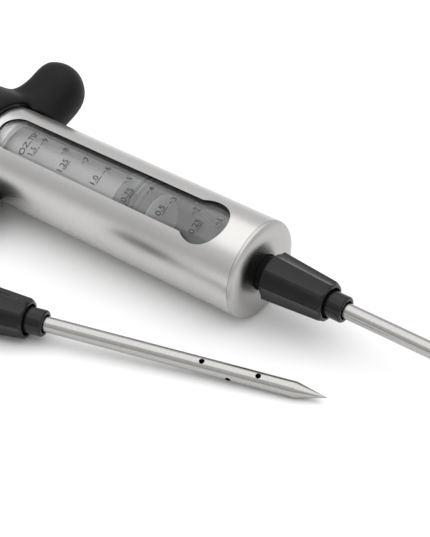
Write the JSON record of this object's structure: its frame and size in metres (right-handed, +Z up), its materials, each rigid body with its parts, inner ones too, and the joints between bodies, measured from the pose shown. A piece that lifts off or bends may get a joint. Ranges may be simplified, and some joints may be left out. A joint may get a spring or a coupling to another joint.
{
  "type": "meat injector",
  "caption": "Hand-held meat injector: steel barrel with sight window over a clear graduated cylinder, winged finger grip, thumb plunger, screw-on needle and a spare needle.",
  "frame": {"origin": "on the tool's axis where the needle shaft leaves its hub", "axes": "+X along the tool's axis towards the needle's point, +Z up as the tool lies on a table"},
  "size_m": [0.3136, 0.1018, 0.0394],
  "materials": {
    "brushed_steel_shell": "satin brushed",
    "steel_needle": "fine ground",
    "steel_plunger": "satin",
    "clear_plastic": "clear moulded plastic",
    "black_hard_plastic": "satin-gloss moulded",
    "black_soft_touch": "matte soft touch",
    "white_plastic": "satin moulded",
    "grey_plastic": "satin moulded",
    "seal_rubber": "smooth",
    "clear_silicone": "smooth"
  },
  "bodies": {
    "barrel": {"nose_cap": "brushed_steel_shell", "barrel_sleeve": "brushed_steel_shell", "clear_cylinder": "clear_plastic", "nose_spigot": "black_hard_plastic", "outlet_gasket": "clear_silicone"},
    "needle": {"needle_hub": "black_hard_plastic", "needle_tube": "steel_needle", "hub_washer": "clear_silicone"},
    "needle_nut": {"needle_nut": "black_hard_plastic"},
    "wiper": {"rod_wiper": "seal_rubber"},
    "grip": {"rear_plug": "white_plastic", "plug_gasket": "clear_silicone", "rod_bush": "white_plastic", "grip_core": "black_hard_plastic", "finger_grip": "black_soft_touch"},
    "piston_rings": {"front_piston_ring": "seal_rubber", "rear_piston_ring": "seal_rubber"},
    "plunger": {"piston_body": "grey_plastic", "piston_disc": "white_plastic", "piston_retainer": "steel_plunger", "rod_end": "grey_plastic", "plunger_tube": "steel_plunger", "knob_core": "black_hard_plastic", "knob_cover": "black_soft_touch"},
    "spare": {"spare_hub": "black_hard_plastic", "spare_needle": "steel_needle", "spare_washer": "clear_silicone", "spare_nut": "black_hard_plastic"}
  },
  "joints": [
    {"name": "plunger_slide", "type": "slide", "parent": "barrel", "child": "piston_rings", "axis": [1, 0, 0], "range_m": [-0.0453, 0.0353]},
    {"name": "plunger_spin", "type": "hinge", "parent": "piston_rings", "child": "plunger", "pos_m": [0, 0, 0], "axis": [1, 0, 0], "continuous": true},
    {"name": "needle_draw", "type": "slide", "parent": "barrel", "child": "needle", "axis": [1, 0, 0], "range_m": [0, 0.01105]},
    {"name": "nut_turn", "type": "hinge", "parent": "needle", "child": "needle_nut", "pos_m": [0, 0, 0], "axis": [1, 0, 0], "range_deg": [0, 1980]},
    {"name": "grip_draw", "type": "slide", "parent": "barrel", "child": "wiper", "axis": [-1, 0, 0], "range_m": [0, 0.0098]},
    {"name": "grip_turn", "type": "hinge", "parent": "wiper", "child": "grip", "pos_m": [0, 0, 0], "axis": [-1, 0, 0], "range_deg": [0, 1170]},
    {"name": "spare_lift", "type": "slide", "parent": "barrel", "child": "spare", "axis": [0, 0, 1], "range_m": [0, 0.06]}
  ],
  "couplings": [
    {"joint": "needle_draw", "follows": "nut_turn", "m_per_rad": 0.00031831},
    {"joint": "grip_draw", "follows": "grip_turn", "m_per_rad": 0.00047746}
  ]
}
